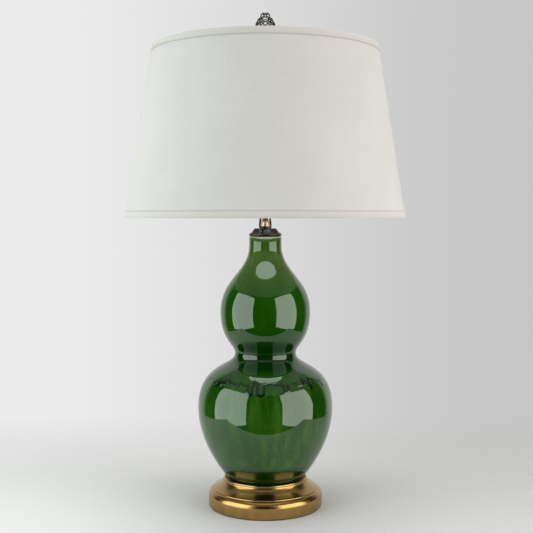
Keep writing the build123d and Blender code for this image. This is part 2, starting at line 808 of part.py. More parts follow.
with BuildPart() as socket_screw_shell:
    with BuildSketch(Plane.XY.offset(screw_shell_z)):
        Circle(screw_shell_radius)
    extrude(amount=screw_shell_height)
    with BuildSketch(Plane.XY.offset(screw_shell_z + screw_shell_thickness)):
        Circle(screw_shell_radius - screw_shell_thickness)
    extrude(amount=screw_shell_height, mode=Mode.SUBTRACT)
    with BuildSketch(Plane.XY.offset(screw_shell_z)):
        Circle(bulb_button_radius + 2 * loose_fit)
    extrude(amount=screw_shell_thickness, mode=Mode.SUBTRACT)
socket_screw_shell.part.label = "socket_screw_shell"
export_step(socket_screw_shell.part, "parts/socket_screw_shell.step")

with BuildPart() as centre_contact:
    with BuildSketch(Plane.XY.offset(screw_shell_z)):
        Circle(contact_radius)
    extrude(amount=contact_height)
    fillet(centre_contact.edges().group_by(Axis.Z)[-1], contact_height / 3)
centre_contact.part.label = "centre_contact"
export_step(centre_contact.part, "parts/centre_contact.step")

# ================================================================ switch
spindle_start = spindle_radius + 2 * loose_fit
with BuildPart() as switch_spindle:
    with BuildSketch(knob_plane.offset(-spindle_start)):
        with Locations((0, knob_axis_z)):
            Circle(spindle_radius)
    extrude(amount=spindle_start - knob_reach_length)
switch_spindle.part.label = "switch_spindle"
export_step(switch_spindle.part, "parts/switch_spindle.step")

# Round ridged knob on the spindle's end.
with BuildPart() as switch_knob:
    with BuildSketch(knob_plane.offset(-knob_reach_length)):
        with Locations((0, knob_axis_z)):
            Circle(knob_radius)
    extrude(amount=-knob_length)
    fillet(switch_knob.edges(), knob_radius / 8)
    with BuildSketch(knob_plane.offset(-knob_reach_length)):
        with Locations((0, knob_axis_z)):
            with PolarLocations(knob_radius, knob_ridges):
                Circle(knob_groove_radius)
    extrude(amount=-knob_length, mode=Mode.SUBTRACT)
switch_knob.part.label = "switch_knob"
export_step(switch_knob.part, "parts/switch_knob.step")

# ================================================================ bulb
with BuildPart() as bulb_glass:
    with BuildSketch(Plane.XZ):
        bulb_centre_z = bulb_top_z - bulb_radius
        with BuildLine() as bulb_line:
            bulb_neck = Bezier(
                (bulb_neck_radius, bulb_neck_z),
                (bulb_neck_radius, bulb_neck_z + bulb_radius / 3),
                (bulb_radius, bulb_centre_z - 2 * bulb_radius / 3),
                (bulb_radius, bulb_centre_z),
            )
            RadiusArc((bulb_radius, bulb_centre_z), (0, bulb_top_z), -bulb_radius)
            Line((0, bulb_top_z), (0, bulb_neck_z))
            Line((0, bulb_neck_z), (bulb_neck_radius, bulb_neck_z))
        make_face()
    revolve(axis=Axis.Z)
    offset(
        amount=-bulb_glass_wall,
        openings=bulb_glass.faces().sort_by(Axis.Z)[0],
    )
bulb_glass.part.label = "bulb_glass"
export_step(bulb_glass.part, "parts/bulb_glass.step")

with BuildPart() as bulb_cap:
    with BuildSketch(Plane.XY.offset(bulb_cap_z)):
        Circle(bulb_cap_radius)
    extrude(amount=bulb_cap_height)
    with BuildSketch(Plane.XY.offset(bulb_cap_z + bulb_cap_thickness)):
        Circle(bulb_cap_radius - bulb_cap_thickness)
    extrude(amount=bulb_cap_height, mode=Mode.SUBTRACT)
    chamfer(bulb_cap.edges().group_by(Axis.Z)[0], bulb_button_height)
bulb_cap.part.label = "bulb_cap"
export_step(bulb_cap.part, "parts/bulb_cap.step")

with BuildPart() as bulb_contact:
    with BuildSketch(Plane.XY.offset(bulb_button_z)):
        Circle(bulb_button_radius)
    extrude(amount=bulb_button_height)
    fillet(bulb_contact.edges().group_by(Axis.Z)[0], bulb_button_height / 3)
bulb_contact.part.label = "bulb_contact"
export_step(bulb_contact.part, "parts/bulb_contact.step")

# ================================================================ shade
trim_in = trim_thickness
fabric_in = trim_in + fabric_thickness
liner_in = fabric_in + liner_thickness
fold_in = liner_in + trim_thickness
cone_foot_z = shade_bottom_z + trim_thickness
cone_top_z = shade_top_z - trim_thickness


def cone_point(depth, z):
    """Point of the shade's half section, at a depth under its skin and a height."""
    return (shade_radius_at(z) - depth, z)


with BuildPart() as shade_fabric:
    with BuildSketch(Plane.XZ):
        with BuildLine():
            Polyline(
                cone_point(trim_in, cone_foot_z),
                cone_point(fabric_in, cone_foot_z),
                cone_point(fabric_in, cone_top_z),
                cone_point(trim_in, cone_top_z),
                close=True,
            )
        make_face()
    revolve(axis=Axis.Z)
shade_fabric.part.label = "shade_fabric"
export_step(shade_fabric.part, "parts/shade_fabric.step")

with BuildPart() as shade_liner:
    with BuildSketch(Plane.XZ):
        with BuildLine():
            Polyline(
                cone_point(fabric_in, cone_foot_z),
                cone_point(liner_in, cone_foot_z),
                cone_point(liner_in, cone_top_z),
                cone_point(fabric_in, cone_top_z),
                close=True,
            )
        make_face()
    revolve(axis=Axis.Z)
shade_liner.part.label = "shade_liner"
export_step(shade_liner.part, "parts/shade_liner.step")

# Each trim is a tape folded over an edge of the shade, wider outside than inside.
with BuildPart() as shade_trim_bottom:
    with BuildSketch(Plane.XZ):
        with BuildLine():
            Polyline(
                cone_point(0, shade_bottom_z),
                cone_point(0, shade_bottom_z + trim_height),
                cone_point(trim_in, shade_bottom_z + trim_height),
                cone_point(trim_in, cone_foot_z),
                cone_point(liner_in, cone_foot_z),
                cone_point(liner_in, shade_bottom_z + trim_turn_in_height),
                cone_point(fold_in, shade_bottom_z + trim_turn_in_height),
                cone_point(fold_in, shade_bottom_z),
                close=True,
            )
        make_face()
    revolve(axis=Axis.Z)
shade_trim_bottom.part.label = "shade_trim_bottom"
export_step(shade_trim_bottom.part, "parts/shade_trim_bottom.step")

with BuildPart() as shade_trim_top:
    with BuildSketch(Plane.XZ):
        with BuildLine():
            Polyline(
                cone_point(0, shade_top_z),
                cone_point(0, shade_top_z - trim_height),
                cone_point(trim_in, shade_top_z - trim_height),
                cone_point(trim_in, cone_top_z),
                cone_point(liner_in, cone_top_z),
                cone_point(liner_in, shade_top_z - trim_turn_in_height),
                cone_point(fold_in, shade_top_z - trim_turn_in_height),
                cone_point(fold_in, shade_top_z),
                close=True,
            )
        make_face()
    revolve(axis=Axis.Z)
shade_trim_top.part.label = "shade_trim_top"
export_step(shade_trim_top.part, "parts/shade_trim_top.step")


def ring_radius_at(z):
    """Radius of a wire ring that lies inside the folded trim at a height."""
    lean = math.sqrt(1 + shade_slope**2)
    return shade_radius_at(z) - fold_in - (ring_wire_radius + running_fit) * lean


bottom_ring_z = cone_foot_z + ring_wire_radius
with BuildPart() as shade_bottom_ring:
    with BuildSketch(Plane.XZ):
        with Locations((ring_radius_at(bottom_ring_z), bottom_ring_z)):
            Circle(ring_wire_radius)
    revolve(axis=Axis.Z)
shade_bottom_ring.part.label = "shade_bottom_ring"
export_step(shade_bottom_ring.part, "parts/shade_bottom_ring.step")

top_ring_radius = ring_radius_at(spider_ring_z)
with BuildPart() as shade_top_ring:
    with BuildSketch(Plane.XZ):
        with Locations((top_ring_radius, spider_ring_z)):
            Circle(ring_wire_radius)
    revolve(axis=Axis.Z)
shade_top_ring.part.label = "shade_top_ring"
export_step(shade_top_ring.part, "parts/shade_top_ring.step")

# Three bent spokes carry the hub below the top ring; their ends are coped round its wire.
spoke_z = spider_hub_z + hub_disc_thickness / 2
spoke_start = stud_seat_radius + 2 * running_gap
with BuildPart() as shade_spider:
    for number in range(spoke_count):
        spoke_plane = turned_plane(spoke_first_angle + number * 360 / spoke_count)
        with BuildLine(spoke_plane) as spoke_path:
            FilletPolyline(
                (spoke_start, spoke_z),
                (top_ring_radius - spider_drop_height, spoke_z),
                (top_ring_radius, spider_ring_z),
                radius=spoke_bend_radius,
            )
        with BuildSketch(Plane(spoke_path.line @ 0, z_dir=spoke_path.line % 0)):
            Circle(spoke_radius)
        sweep(path=spoke_path.line)
    with BuildSketch(Plane.XY.offset(spider_hub_z)):
        Circle(hub_disc_radius)
    extrude(amount=hub_disc_thickness)
    with BuildSketch(Plane.XY.offset(spider_hub_z)):
        Circle(stud_radius + 2 * loose_fit)
    extrude(amount=hub_disc_thickness, mode=Mode.SUBTRACT)
    add(shade_top_ring.part, mode=Mode.SUBTRACT)
shade_spider.part.label = "shade_spider"
export_step(shade_spider.part, "parts/shade_spider.step")

# ================================================================ finial
finial_bore = stud_radius + thread_fit
bore_top_z = seat_top_z + stud_length + seat_gap
with BuildPart() as finial_base:
    with BuildSketch(Plane.XZ):
        collar_top_z = finial_z + finial_collar_height
        with BuildLine():
            Polyline(
                (finial_bore, bore_top_z),
                (finial_bore, finial_z),
                (finial_collar_radius, finial_z),
                (finial_collar_radius, finial_z + finial_collar_height / 3),
            )
            Bezier(
                (finial_collar_radius, finial_z + finial_collar_height / 3),
                (finial_collar_radius, collar_top_z),
                (finial_stem_radius, collar_top_z - finial_collar_height / 3),
                (finial_stem_radius, collar_top_z),
            )
            Bezier(
                (finial_stem_radius, collar_top_z),
                (finial_stem_radius, collar_top_z + finial_stem_height / 2),
                (finial_cup_radius, finial_cup_z - finial_stem_height / 3),
                (finial_cup_radius, finial_cup_z),
            )
            Polyline(
                (finial_cup_radius, finial_cup_z),
                (finial_cup_radius, filigree_z),
                (0, filigree_z),
                (0, bore_top_z),
                (finial_bore, bore_top_z),
            )
        make_face()
    revolve(axis=Axis.Z)
finial_base.part.label = "finial_base"
export_step(finial_base.part, "parts/finial_base.step")

# Openwork dome: a thin shell pierced by rows of round holes that shrink towards the top.
bulge_z = filigree_z + filigree_low_bulge_height
lower_side = Bezier(
    (finial_cup_radius, filigree_z),
    (filigree_radius - filigree_wall, filigree_z + filigree_low_bulge_height / 4),
    (filigree_radius, bulge_z - filigree_low_bulge_height / 2),
    (filigree_radius, bulge_z),
)
upper_side = Bezier(
    (filigree_radius, bulge_z),
    (filigree_radius, bulge_z + filigree_low_bulge_height),
    (2 * filigree_top_radius, filigree_top_z - filigree_wall),
    (filigree_top_radius, filigree_top_z),
)
with BuildPart() as finial_filigree:
    with BuildSketch(Plane.XZ):
        with BuildLine():
            add(lower_side)
            add(upper_side)
            Polyline(upper_side @ 1, (0, filigree_top_z), (0, filigree_z), lower_side @ 0)
        make_face()
    revolve(axis=Axis.Z)
    offset(amount=-filigree_wall, openings=finial_filigree.faces().sort_by(Axis.Z)[0])
    for row in range(filigree_rows):
        side = upper_side if row < filigree_upper_rows else lower_side
        share = filigree_row_places[row]
        point = side @ share
        tangent = side % share
        radius = point.X
        hole = (math.pi * radius / filigree_holes) * filigree_hole_share
        planes = []
        for number in range(filigree_holes):
            angle = (number + (row % 2) / 2) * 2 * math.pi / filigree_holes
            around = Vector(math.cos(angle), math.sin(angle), 0)
            outward = around * tangent.Y - Vector(0, 0, tangent.X)
            place = around * radius + Vector(0, 0, point.Y)
            planes.append(Plane(origin=place + outward * filigree_wall, z_dir=outward))
        with BuildSketch(*planes):
            Circle(hole)
        extrude(amount=-4 * filigree_wall, mode=Mode.SUBTRACT)
finial_filigree.part.label = "finial_filigree"
export_step(finial_filigree.part, "parts/finial_filigree.step")
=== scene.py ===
# %% [markdown]
# # Dressing a double gourd table lamp
# The lamp stands here already as solid pieces at their real size: a glazed ceramic gourd on a
# spun brass base, a socket, a harp and a linen shade under an openwork finial. Solids carry
# the sizes; this lesson gives them their finish, and models again what the eye dwells on.
# Everything is in metres, +Z up, with the origin on the table under the lamp's axis.

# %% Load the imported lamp
import math
import bpy
import random
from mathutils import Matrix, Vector, noise
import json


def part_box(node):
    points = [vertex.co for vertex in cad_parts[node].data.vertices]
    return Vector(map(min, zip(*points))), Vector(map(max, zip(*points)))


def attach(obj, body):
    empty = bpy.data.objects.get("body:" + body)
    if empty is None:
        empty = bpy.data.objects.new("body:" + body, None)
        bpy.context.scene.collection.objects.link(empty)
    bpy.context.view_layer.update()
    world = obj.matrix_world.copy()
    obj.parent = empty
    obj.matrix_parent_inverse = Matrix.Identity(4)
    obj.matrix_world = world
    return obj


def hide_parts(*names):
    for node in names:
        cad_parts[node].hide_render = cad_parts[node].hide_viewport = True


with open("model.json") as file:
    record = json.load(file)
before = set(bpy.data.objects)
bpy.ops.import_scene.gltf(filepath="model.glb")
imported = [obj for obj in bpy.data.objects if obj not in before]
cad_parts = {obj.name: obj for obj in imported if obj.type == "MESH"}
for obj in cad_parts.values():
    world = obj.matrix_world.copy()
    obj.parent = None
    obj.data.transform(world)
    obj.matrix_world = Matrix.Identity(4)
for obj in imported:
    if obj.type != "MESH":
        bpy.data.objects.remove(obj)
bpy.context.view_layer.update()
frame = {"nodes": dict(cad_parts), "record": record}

# %% [markdown]
# ## Camera
# The picture is square and was taken from a little below half the lamp's height, tipped
# down by three degrees. A lens is given in millimetres of a 36 mm sensor, so the focal
# length that was measured in pixels is scaled by sensor width over picture width.

# %% Set up the camera
picture_side = 533
focal_pixels = 951.0
sensor_width = 36.0
camera_place = (0.0019, -1.566, 0.480)
camera_tip = math.radians(3.06)
bpy.ops.object.camera_add(location=camera_place, rotation=(math.pi / 2 - camera_tip, 0, 0))
camera = bpy.context.object
camera.data.sensor_width = sensor_width
camera.data.lens = sensor_width * focal_pixels / picture_side
bpy.context.scene.camera = camera
bpy.context.scene.view_settings.view_transform = "Standard"
print("lens", round(camera.data.lens, 2), "mm")

# %% [markdown]
# ## Arithmetic on shader sockets
# A finish is a small sum: so much grain, plus a little grime where the mask says so. Node
# graphs hide that sum in wires. Here a socket is wrapped in a class whose operators add the
# Math nodes, so `1 - mask` can be written as it is thought, and one method adds any other node.

# %% Wrap sockets and materials
class Field:
    """A number that varies over a surface, with + - * / and powers as Math nodes."""

    def __init__(self, finish, socket):
        self.finish = finish
        self.socket = socket

    def calc(self, operation, first, second):
        sockets = {0: first, 1: second}
        return self.finish.node("ShaderNodeMath", {"operation": operation}, sockets)

    def __add__(self, other):
        return self.calc("ADD", self, other)

    def __radd__(self, other):
        return self.calc("ADD", other, self)

    def __sub__(self, other):
        return self.calc("SUBTRACT", self, other)

    def __rsub__(self, other):
        return self.calc("SUBTRACT", other, self)

    def __mul__(self, other):
        return self.calc("MULTIPLY", self, other)

    def __rmul__(self, other):
        return self.calc("MULTIPLY", other, self)

    def __truediv__(self, other):
        return self.calc("DIVIDE", self, other)

    def __pow__(self, other):
        return self.calc("POWER", self, other)

    def least(self, other):
        return self.calc("MINIMUM", self, other)

    def wave(self, pitch):
        """A sine of this field that repeats every pitch, between 0 and 1."""
        return self.calc("SINE", self * (2 * math.pi / pitch), 0.0) * 0.5 + 0.5

    def most(self, other):
        return self.calc("MAXIMUM", self, other)

    def melt(self, other, over):
        """The lesser of two fields, with the corner between them rounded over a distance."""
        sockets = {0: self, 1: other, 2: over}
        return self.finish.node("ShaderNodeMath", {"operation": "SMOOTH_MIN"}, sockets)


class Finish:
    """A material whose nodes are added one method call at a time."""

    def __init__(self, name, **constants):
        self.material = bpy.data.materials.new(name)
        self.material.use_nodes = True
        self.tree = self.material.node_tree
        self.shader = self.tree.nodes["Principled BSDF"]
        self.output = self.tree.nodes["Material Output"]
        for socket, value in constants.items():
            self.shader.inputs[socket.replace("_", " ")].default_value = value

    def node(self, kind, settings=None, sockets=None, out=0):
        made = self.tree.nodes.new(kind)
        for name, value in (settings or {}).items():
            if name == "stops":
                ramp = made.color_ramp
                while len(ramp.elements) < len(value):
                    ramp.elements.new(1.0)
                for element, (place, colour) in zip(ramp.elements, value):
                    element.position = place
                    element.color = colour if len(colour) == 4 else (*colour, 1)
            else:
                setattr(made, name, value)
        for name, value in (sockets or {}).items():
            if isinstance(value, Field):
                self.tree.links.new(value.socket, made.inputs[name])
            else:
                made.inputs[name].default_value = value
        return Field(self, made.outputs[out])

    def feed(self, name, field):
        self.tree.links.new(field.socket, self.shader.inputs[name])

    def place(self, scale=(1, 1, 1)):
        """Object coordinates in metres, stretched by a scale on each axis."""
        where = self.node("ShaderNodeTexCoord", out="Object")
        return self.node("ShaderNodeMapping", {}, {"Vector": where, "Scale": scale})

    def axes(self, vector):
        parts = self.node("ShaderNodeSeparateXYZ", {}, {0: vector})
        node = parts.socket.node
        return [Field(self, node.outputs[axis]) for axis in "XYZ"]

    def noise(self, vector, scale, detail=2.0, rough=0.5, warp=0.0):
        sockets = {"Vector": vector, "Scale": scale, "Detail": detail,
                   "Roughness": rough, "Distortion": warp}
        return self.node("ShaderNodeTexNoise", {}, sockets, "Fac")

    def ramp(self, field, low, high, to_low=0.0, to_high=1.0):
        """Smooth step of a field from to_low, at low, to to_high, at high."""
        sockets = {"Value": field, "From Min": low, "From Max": high,
                   "To Min": to_low, "To Max": to_high}
        return self.node("ShaderNodeMapRange", {"interpolation_type": "SMOOTHSTEP"}, sockets)

    def colours(self, field, *stops):
        return self.node("ShaderNodeValToRGB", {"stops": stops}, {"Fac": field})

    def mix(self, share, first, second, blend="MIX"):
        settings = {"data_type": "RGBA", "blend_type": blend}
        made = self.node("ShaderNodeMix", settings, {0: share}, 2)
        node = made.socket.node
        for place, value in ((6, first), (7, second)):
            if isinstance(value, Field):
                self.tree.links.new(value.socket, node.inputs[place])
            else:
                node.inputs[place].default_value = (*value, 1)
        return made

    def bump(self, height, distance, strength=1.0):
        sockets = {"Height": height, "Distance": distance, "Strength": strength}
        self.feed("Normal", self.node("ShaderNodeBump", {}, sockets))


def srgb(red, green, blue):
    """A colour as it is read off a screen, turned to the linear values that light adds up in."""
    values = (red / 255, green / 255, blue / 255)
    return tuple(v / 12.92 if v < 0.04045 else ((v + 0.055) / 1.055) ** 2.4 for v in values)


print("a middle grey reads as", [round(v, 3) for v in srgb(128, 128, 128)])

# %% [markdown]
# ## Studio
# Glossy ceramic and brass show little of their own colour and much of the room, so the room
# is built first. Two tall soft boxes stand left and right of the camera and leave a dark gap
# between them, which is what draws the two bright windows with a dark centre on each bulb.
# A third light hangs overhead and is seen through the open top of the shade.

# %% Hang the lights
def soft_box(name, bearing, reach, width, bottom, top, radiance):
    """A tall panel that faces the lamp, at a bearing from the front, + to the right."""
    turn = math.radians(bearing)
    middle = (bottom + top) / 2
    place = Vector((math.sin(turn) * reach, -math.cos(turn) * reach, middle))
    aim = (Vector((0, 0, middle)) - place).to_track_quat("-Z", "Y").to_euler()
    bpy.ops.object.light_add(type="AREA", location=place, rotation=aim)
    light = bpy.context.object
    light.name = name
    light.data.shape = "RECTANGLE"
    light.data.size = width
    light.data.size_y = top - bottom
    light.data.energy = radiance * math.pi * width * (top - bottom)
    return light


left_box = soft_box("soft_box_left", -61, 1.35, 1.58, -0.36, 1.30, 3.25)
left_box.data.color = (0.94, 1.0, 0.985)
right_box = soft_box("soft_box_right", 56, 1.45, 1.55, -0.38, 1.35, 3.30)
right_box.data.color = (1.0, 0.985, 0.955)
top_box_height = 2.1
top_box_width = 1.90
bpy.ops.object.light_add(type="AREA", location=(0.0, 0.15, top_box_height))
top_box = bpy.context.object
top_box.name = "soft_box_top"
top_box.data.shape = "DISK"
top_box.data.size = top_box_width
top_box.data.energy = 2.5 * math.pi * math.pi / 4 * top_box_width**2
print("left, right and top lights:", left_box.name, right_box.name, top_box.name)

# %% [markdown]
# The upper bulb mirrors one more light, round and small. It is a glowing ring that hangs just
# under the shade and shines down. Only mirrored rays see it, so it draws its round spot on the
# glaze and leaves the green as it is. It is open in the middle, which keeps the neck's cap dark.

# %% Hang the mirrored ring
bpy.ops.object.select_all(action="DESELECT")
bpy.ops.mesh.primitive_circle_add(vertices=64, radius=0.045, location=(0.001, 0, 0.460))
spot_ring = bpy.context.object
spot_ring.name = "ring_under_shade"
bpy.ops.object.mode_set(mode="EDIT")
bpy.ops.mesh.extrude_edges_move()
bpy.ops.transform.resize(value=(1.56, 1.747, 1))
bpy.ops.mesh.select_all(action="SELECT")
bpy.ops.mesh.normals_make_consistent(inside=False)
bpy.ops.object.mode_set(mode="OBJECT")
bpy.ops.object.transform_apply(location=True, rotation=True, scale=True)
if spot_ring.data.polygons[0].normal.z > 0:
    spot_ring.data.flip_normals()
ring_glow = Finish("ring_glow", Roughness=1.0)
turned_away = ring_glow.node("ShaderNodeNewGeometry", out="Backfacing")
ring_light = ring_glow.node("ShaderNodeEmission", {}, {"Strength": (1 - turned_away) * 3.3})
ring_glow.tree.links.new(ring_light.socket, ring_glow.output.inputs["Surface"])
spot_ring.data.materials.append(ring_glow.material)
spot_ring.visible_camera = False
spot_ring.visible_diffuse = False
spot_ring.visible_transmission = False
spot_ring.visible_shadow = False
print("only mirrored:", spot_ring.name)

# %% [markdown]
# The floor is a roll of pale paper, 1.3 m wide, whose front edge ends at the end of a table.
# The bulbs mirror that edge and the dark studio beside it, so the sheet is only as wide as
# the real one. Far behind the lamp it fades into the pale backdrop, which is painted in the
# world: a direction is dark in front, grey overhead and pale behind.

# %% Lay the paper
paper_front = -0.335
paper_back = 1.10
paper_half = 0.65
bpy.ops.mesh.primitive_grid_add(x_subdivisions=2, y_subdivisions=2, size=1)
floor = bpy.context.object
floor.name = "floor"
for point in floor.data.vertices:
    point.co.x *= 2 * paper_half
    point.co.y = paper_front + (point.co.y + 0.5) * (paper_back - paper_front)

paper = Finish("backdrop_paper", Roughness=0.9, Specular_IOR_Level=0.1)
across, back, rise = paper.axes(paper.place())
# The paper is painted darker from left to right: painted shade of the light falling off towards the
# right.
painted_falloff = paper.ramp(across, -0.5, 0.5)
paper.feed("Base Color", paper.mix(painted_falloff, srgb(219, 219, 218), srgb(199, 199, 197)))
fade = paper.ramp(back, 0.10, 0.75, 1.0, 0.0)
paper.feed("Alpha", fade)
floor.data.materials.append(paper.material)
print("the paper starts at y =", paper_front, "and is", 2 * paper_half, "m wide")

# %% Paint the room
world = bpy.data.worlds.new("studio")
bpy.context.scene.world = world
world.use_nodes = True
room = Finish.__new__(Finish)
room.tree = world.node_tree
room.tree.nodes.clear()
along = room.node("ShaderNodeTexCoord", out="Generated")
east, north, up = room.axes(along)
seen = room.node("ShaderNodeLightPath", out="Is Camera Ray")
backdrop_left = 0.84
backdrop_right = 0.565
picture_wide = 0.27
# Seen straight on, the backdrop is painted lighter on the left and darker on the right: painted shade of
# the light falling off across it.
backdrop_falloff = room.ramp(east, -picture_wide, picture_wide, backdrop_left, backdrop_right)
behind = room.ramp(north, 0.45, 0.70)
ceiling = room.ramp(up, 0.60, 0.68, 0.0, 0.30)
lit_room = (behind * 0.72).most(ceiling) + 0.006
strength = seen * backdrop_falloff + (1 - seen) * lit_room
glow = room.node("ShaderNodeBackground", {}, {"Color": (1, 1, 1, 1), "Strength": strength})
end = room.tree.nodes.new("ShaderNodeOutputWorld")
room.tree.links.new(glow.socket, end.inputs["Surface"])
print("the backdrop runs from", backdrop_left, "to", backdrop_right)

# %% [markdown]
# ## Turned pieces
# Most of this lamp came off a wheel or a lathe: clay thrown, brass spun, knobs turned. One
# helper repeats that. It draws the piece's outline as a Bezier curve beside the axis, turns
# the curve to edges and spins them round. Double vertices at the seam are merged before the
# normals are made to agree.

# %% Helper to select and to spin
def only(*pieces):
    """Select these objects and nothing else; the last one is active."""
    if bpy.context.object and bpy.context.object.mode != "OBJECT":
        bpy.ops.object.mode_set(mode="OBJECT")
    bpy.ops.object.select_all(action="DESELECT")
    for piece in pieces:
        piece.select_set(True)
        bpy.context.view_layer.objects.active = piece


def corner(radius, height):
    return {"at": (radius, height), "below": None, "above": None}


def soft(radius, height, below, above):
    """A point of an outline where it runs upright, with a handle each way."""
    return {"at": (radius, height), "below": (radius, height - below),
            "above": (radius, height + above)}


def turned(name, outline, steps=128, fineness=12, crease=35, closed=True):
    """Spin an outline of corner() and soft() points round the lamp's axis."""
    only()
    bpy.ops.curve.primitive_bezier_curve_add(location=(0, 0, 0))
    piece = bpy.context.object
    piece.name = name
    piece.data.name = name
    spline = piece.data.splines[0]
    spline.bezier_points.add(len(outline) - len(spline.bezier_points))
    for point, drawn in zip(spline.bezier_points, outline):
        point.handle_left_type = "FREE" if drawn["below"] else "VECTOR"
        point.handle_right_type = "FREE" if drawn["above"] else "VECTOR"
        radius, height = drawn["at"]
        point.co = (radius, 0, height)
        for handle, side in (("handle_left", "below"), ("handle_right", "above")):
            if drawn[side]:
                setattr(point, handle, (drawn[side][0], 0, drawn[side][1]))
    spline.use_cyclic_u = closed
    spline.resolution_u = fineness
    piece.data.resolution_u = fineness
    bpy.ops.object.convert(target="MESH")
    bpy.ops.object.mode_set(mode="EDIT")
    bpy.ops.mesh.select_all(action="SELECT")
    bpy.ops.mesh.spin(steps=steps, angle=2 * math.pi, center=(0, 0, 0), axis=(0, 0, 1))
    bpy.ops.mesh.select_all(action="SELECT")
    bpy.ops.mesh.remove_doubles(threshold=1e-6)
    bpy.ops.mesh.normals_make_consistent(inside=False)
    bpy.ops.object.mode_set(mode="OBJECT")
    bpy.ops.object.shade_smooth_by_angle(angle=math.radians(crease))
    return piece


def dress(piece, finish, body, slot, *nodes):
    """Give a finished piece its material, its body and the nodes that it stands for."""
    piece.data.materials.clear()
    piece.data.materials.append(finish.material)
    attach(piece, body)
    if nodes:
        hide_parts(*nodes)
    print(piece.name, len(piece.data.vertices), "vertices, rides on", body)


# %% [markdown]
# ## The ceramic gourd
# A potter throws the two bulbs as one hollow form. Its outline is four long curves that all
# run upright where they meet: foot, lower bulb, waist, upper bulb and neck. Only five points
# with two handles each are needed, and the inner wall repeats them a wall's thickness inside.

# %% Throw the gourd
gourd_low, gourd_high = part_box("gourd_body")
foot_z = gourd_low.z
neck_z = gourd_high.z
lower_radius = gourd_high.x
clay_wall = 0.0065
clay_floor = 0.009
foot_radius = 0.0628
foot_ring = 0.010
foot_recess = 0.003
pipe_hole = 0.0065
neck_round = 0.0012
lower_height = 0.1195
waist_radius = 0.0506
waist_height = 0.2075
upper_radius = 0.0744
upper_height = 0.2759
neck_radius = 0.0269
neck_height = 0.3860


def gourd_side(wall, start):
    """The wall's outline from a level above the foot up to the neck."""
    return [
        {"at": (foot_radius - wall, start), "below": None,
         "above": (foot_radius - wall, start + 0.0041)},
        soft(lower_radius - wall, foot_z + lower_height, 0.0676, 0.0720),
        soft(waist_radius - wall, foot_z + waist_height, 0.0223, 0.0148),
        soft(upper_radius - wall, foot_z + upper_height, 0.0473, 0.0560),
        {"at": (neck_radius - wall, foot_z + neck_height),
         "below": (neck_radius - wall, foot_z + neck_height - 0.0445), "above": None},
    ]


inner_side = gourd_side(clay_wall, foot_z + clay_floor)
for point in inner_side:
    point["below"], point["above"] = point["above"], point["below"]
gourd = turned(
    "glazed_gourd",
    [
        corner(pipe_hole, foot_z + foot_recess),
        corner(foot_radius - foot_ring, foot_z + foot_recess),
        corner(foot_radius - foot_ring, foot_z),
        *gourd_side(0, foot_z),
        corner(neck_radius, neck_z - neck_round),
        corner(neck_radius - neck_round / 3, neck_z - neck_round / 3),
        corner(neck_radius - neck_round, neck_z),
        corner(neck_radius - clay_wall, neck_z),
        *reversed(inner_side),
        corner(pipe_hole, foot_z + clay_floor),
    ],
    steps=192,
    fineness=28,
)
print("gourd is", round(2 * lower_radius, 4), "m wide and", round(neck_z - foot_z, 4), "m tall")

# %% [markdown]
# A hand-thrown wall isn't perfectly round. The wheel leaves broad, shallow swellings, and
# they make the mirrored windows waver. Every point is moved in or out by a fraction of a
# millimetre, by a smooth noise that is stretched along the height.

# %% Let the wall waver
waver = 0.00022
waver_size = 26.0
for point in gourd.data.vertices:
    across = Vector((point.co.x, point.co.y, 0))
    spot = Vector((point.co.x, point.co.y, point.co.z * 0.6)) * waver_size
    push = noise.noise(spot) * waver - waver
    point.co += across.normalized() * push
print("the wall wavers by", waver * 1000, "mm")

# %% [markdown]
# The glaze is a deep emerald glass over a darker body. It ran while it melted: under the
# waist a thick curtain of it stopped in a ragged line of drips, and below that it is thinner,
# yellower and streaked. One glossy layer over a saturated green keeps the reflections crisp
# and the dark places dark. The curtain's edge is a level that a noise moves up and down.

# %% Start the glaze
glaze = Finish("emerald_glaze", Roughness=0.045, IOR=1.66, Specular_Tint=(0.90, 1.0, 0.90, 1))
spot = glaze.place()
east, north, up = glaze.axes(spot)
streaks = glaze.noise(glaze.place((1, 1, 0.10)), 75, 4, 0.6)
clouds = glaze.noise(glaze.place((1, 1, 0.6)), 16, 3, 0.55)
specks = glaze.noise(spot, 700, 2, 0.5)
print("the glaze is", glaze.material.name)

# %% [markdown]
# The edge of the curtain is drawn as a distance, so that its dark line is equally thick
# everywhere. A noise makes the level wavy, and each drip is a tongue with a round end. The
# lesser of all these distances, with rounded corners between them, is the distance to the
# whole. Two long drips hang in front, shorter ones at irregular places all round.

# %% Let the curtain drip
curtain_z = foot_z + 0.1700
curtain_girth = 0.097
bearing = east.calc("ARCTAN2", east, 0 - north) * curtain_girth
waves = glaze.noise(glaze.place((1, 1, 0.05)), 95, 1, 0.5) - 0.5
wander = glaze.noise(glaze.place((1, 1, 0.05)), 22, 1, 0.5) - 0.5
gap = curtain_z + waves * 0.022 + wander * 0.008 - up
drips = [(-14.0, 0.0040, 0.0105), (-4.0, 0.0055, 0.0100)]
spread = random.Random(11)
for degrees in range(20, 330, 26):
    place = (degrees + spread.uniform(-8, 8) + 180) % 360 - 180
    drips.append((place, spread.uniform(0.0025, 0.0045), spread.uniform(0.001, 0.009)))
for degrees, half_width, reach in drips:
    aside = bearing - math.radians(degrees) * curtain_girth
    under = (curtain_z - reach - up).most(0.0)
    tongue = (aside * aside + under * under) ** 0.5 - half_width
    gap = gap.melt(tongue, 0.004)
curtain = glaze.ramp(gap, -0.0015, 0.0015, 1.0, 0.0)
curtain_line = glaze.ramp(gap, -0.0036, -0.0016) * glaze.ramp(gap, 0.0008, 0.0026, 1.0, 0.0)
print("the curtain ends in", len(drips), "drips")

